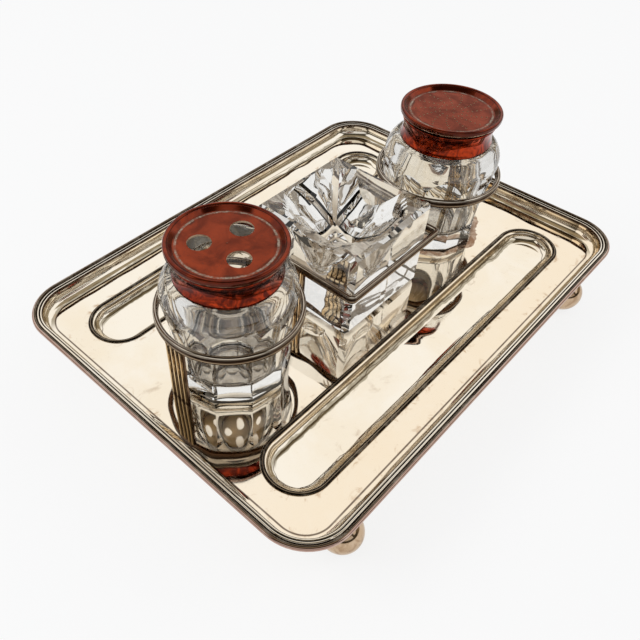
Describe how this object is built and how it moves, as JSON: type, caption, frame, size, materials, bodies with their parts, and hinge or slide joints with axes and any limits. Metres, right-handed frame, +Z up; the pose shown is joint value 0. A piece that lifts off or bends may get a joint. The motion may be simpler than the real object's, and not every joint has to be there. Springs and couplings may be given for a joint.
{
  "type": "desk inkstand",
  "caption": "Footed silver-plated desk inkstand with pen channels, lidded cut-glass pots in reeded rings and a square glass inkwell.",
  "frame": {"origin": "on the table, under the middle of the tray", "axes": "+X along the tray towards the pounce pot, +Y across it towards the back channel, +Z up"},
  "size_m": [0.28, 0.2044, 0.1057],
  "materials": {
    "silver_plate": "polished, worn, with brown tarnish in the hollows",
    "copper_cover": "brown-red patina, satin",
    "copper_collar": "lacquered, glossy",
    "cut_glass": "clear, cut and polished",
    "plaster": "matt, set plaster of Paris"
  },
  "bodies": {
    "stand": {"tray": "silver_plate", "tray_border": "silver_plate", "foot_front_left": "silver_plate", "foot_front_right": "silver_plate", "foot_back_left": "silver_plate", "foot_back_right": "silver_plate", "foot_seat_front_left": "silver_plate", "foot_seat_front_right": "silver_plate", "foot_seat_back_left": "silver_plate", "foot_seat_back_right": "silver_plate", "pen_pot_ring": "silver_plate", "pen_pot_strut_left": "silver_plate", "pen_pot_strut_right": "silver_plate", "inkwell_frame": "silver_plate", "inkwell_strut_left": "silver_plate", "inkwell_strut_right": "silver_plate", "pounce_pot_ring": "silver_plate", "pounce_pot_strut_left": "silver_plate", "pounce_pot_strut_right": "silver_plate"},
    "pen_pot": {"pen_pot_glass": "cut_glass", "pen_pot_plaster": "plaster", "pen_pot_collar": "copper_collar"},
    "pen_cover": {"pen_cover_rim": "copper_cover", "pen_cover_disc": "copper_cover"},
    "pounce_pot": {"pounce_pot_glass": "cut_glass", "pounce_pot_plaster": "plaster", "pounce_pot_collar": "copper_collar"},
    "pounce_cover": {"pounce_cover_rim": "copper_cover", "pounce_cover_disc": "copper_cover"},
    "inkwell": {"inkwell_glass": "cut_glass"}
  },
  "joints": [
    {"name": "pen_pot_lift", "type": "slide", "parent": "stand", "child": "pen_pot", "axis": [0, 0, 1], "range_m": [0, 0.045]},
    {"name": "pen_cover_lift", "type": "slide", "parent": "pen_pot", "child": "pen_cover", "axis": [0, 0, 1], "range_m": [0, 0.025]},
    {"name": "pounce_pot_lift", "type": "slide", "parent": "stand", "child": "pounce_pot", "axis": [0, 0, 1], "range_m": [0, 0.045]},
    {"name": "pounce_cover_lift", "type": "slide", "parent": "pounce_pot", "child": "pounce_cover", "axis": [0, 0, 1], "range_m": [0, 0.025]},
    {"name": "inkwell_lift", "type": "slide", "parent": "stand", "child": "inkwell", "axis": [0, 0, 1], "range_m": [0, 0.042]}
  ]
}
